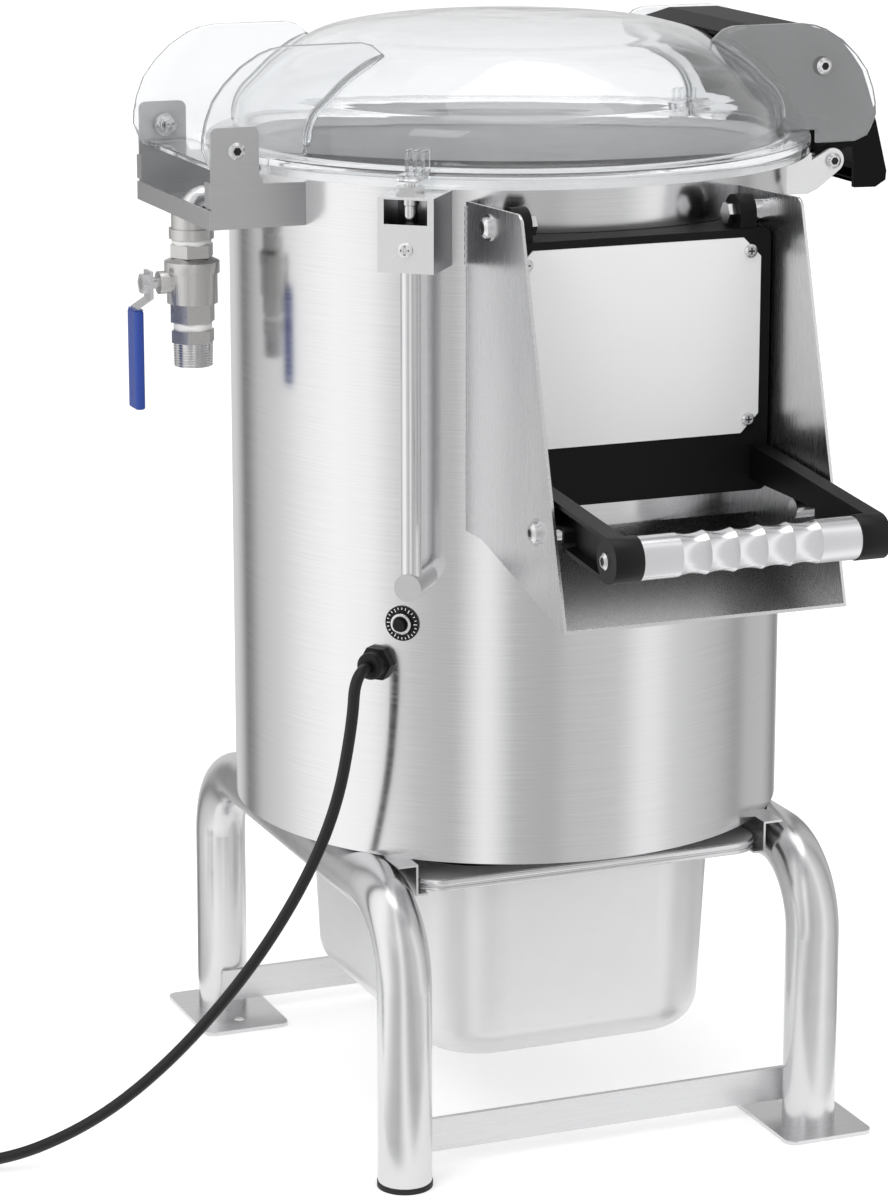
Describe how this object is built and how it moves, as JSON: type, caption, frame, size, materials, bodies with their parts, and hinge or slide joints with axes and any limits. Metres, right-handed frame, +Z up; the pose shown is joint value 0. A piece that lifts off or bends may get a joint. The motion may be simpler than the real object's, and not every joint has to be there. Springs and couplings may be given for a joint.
{
  "type": "potato peeler machine",
  "caption": "Floor-standing potato peeler: steel drum on tube legs with a clear hinged lid, discharge door over a chute, water valve, peel pan, belt-driven disc and mains cord.",
  "frame": {"origin": "on the drum's axis at floor level, the centre of the floor plates' bolt circle", "axes": "+Z up, -Y out of the front with its chute and door, +X towards the lid's latch"},
  "size_m": [0.8091, 0.6404, 0.787],
  "materials": {
    "stainless_steel": "satin brushed",
    "bright_steel": "bright",
    "ground_steel": "ground",
    "aluminium_grip": "satin",
    "black_plastic": "satin",
    "dark_plastic": "satin",
    "clear_plastic": "clear",
    "black_rubber": "matte",
    "grey_rubber": "matte",
    "abrasive_lining": "gritty",
    "cast_housing": "cast",
    "motor_paint": "painted",
    "blue_sleeve": "dipped",
    "cord_black": "matte"
  },
  "bodies": {
    "machine": {"drum_shell": "stainless_steel", "base_plate": "stainless_steel", "chamber_floor": "stainless_steel", "chute": "stainless_steel", "leg_frames": "stainless_steel", "crossbars": "stainless_steel", "pan_rails": "stainless_steel", "floor_plates": "stainless_steel", "drain_outlet": "stainless_steel", "hinge_bracket": "stainless_steel", "latch_arms": "stainless_steel", "valve_socket": "stainless_steel", "valve_body": "stainless_steel", "valve_nipple": "stainless_steel", "spray_pipe": "stainless_steel", "switch_box": "stainless_steel", "conduit": "stainless_steel", "motor_mount": "stainless_steel", "foot_caps": "black_rubber", "abrasive_liner": "abrasive_lining", "bearing_housing": "cast_housing", "shaft_bearings": "ground_steel", "shaft_seal": "black_rubber", "drive_belt": "black_rubber", "motor": "motor_paint", "door_hinge_bolts": "bright_steel", "stop_pins": "bright_steel", "lid_seal": "grey_rubber", "hinge_screws": "bright_steel", "hinge_nuts": "bright_steel", "latch_bolt": "bright_steel", "plunger_guide": "bright_steel", "micro_switch": "black_plastic", "reset_breaker": "black_plastic", "cable_gland": "black_plastic", "power_cord": "cord_black", "cord_coil": "cord_black", "mains_plug": "cord_black"},
    "lid": {"lid": "clear_plastic", "latch_screws": "bright_steel"},
    "latch": {"latch_handle": "dark_plastic"},
    "door": {"door_frame": "black_plastic", "door_panel": "stainless_steel", "door_liner": "stainless_steel", "door_screws": "bright_steel", "door_seal": "grey_rubber", "handle_arms": "black_plastic", "handle_grip": "aluminium_grip", "handle_screws": "bright_steel"},
    "pan": {"peel_pan": "stainless_steel"},
    "disc": {"peeling_disc": "abrasive_lining", "main_shaft": "ground_steel", "large_pulley": "cast_housing"},
    "motor_rotor": {"motor_shaft": "ground_steel", "motor_pulley": "cast_housing"},
    "valve_handle": {"valve_ball": "bright_steel", "valve_lever": "stainless_steel", "lever_sleeve": "blue_sleeve"},
    "plunger": {"switch_plunger": "bright_steel"},
    "reset": {"reset_button": "black_plastic"}
  },
  "joints": [
    {"name": "lid_hinge", "type": "hinge", "parent": "machine", "child": "lid", "pos_m": [-0.232, 0, 0.712], "axis": [0, -1, 0], "range_deg": [0, 88]},
    {"name": "latch_pivot", "type": "hinge", "parent": "lid", "child": "latch", "pos_m": [0.2112, 0, 0.7501], "axis": [0, 1, 0], "range_deg": [0, 10], "stiffness_Nm_per_rad": 0.8, "springref_deg": -22.92},
    {"name": "door_hinge", "type": "hinge", "parent": "machine", "child": "door", "pos_m": [0, -0.2107, 0.6715], "axis": [-1, 0, 0], "range_deg": [0, 75]},
    {"name": "pan_slide", "type": "slide", "parent": "machine", "child": "pan", "axis": [0, -1, 0], "range_m": [0, 0.25]},
    {"name": "disc_spin", "type": "hinge", "parent": "machine", "child": "disc", "pos_m": [0, 0, 0.4], "axis": [0, 0, 1], "continuous": true},
    {"name": "motor_spin", "type": "hinge", "parent": "machine", "child": "motor_rotor", "pos_m": [0.1, 0.075, 0.3], "axis": [0, 0, 1], "continuous": true},
    {"name": "valve_turn", "type": "hinge", "parent": "machine", "child": "valve_handle", "pos_m": [-0.238, 0, 0.612], "axis": [-1, 0, 0], "range_deg": [0, 90]},
    {"name": "plunger_slide", "type": "slide", "parent": "machine", "child": "plunger", "axis": [0, 0, 1], "range_m": [0, 0.003], "stiffness_N_per_m": 150, "springref_m": 0.006},
    {"name": "reset_press", "type": "slide", "parent": "machine", "child": "reset", "axis": [0.6915, 0.7224, 0], "range_m": [0, 0.002], "stiffness_N_per_m": 400, "springref_m": -0.002}
  ],
  "couplings": [
    {"joint": "motor_spin", "follows": "disc_spin", "ratio": 4.75},
    {"joint": "plunger_slide", "follows": "lid_hinge", "m_per_rad": 0.00195}
  ]
}
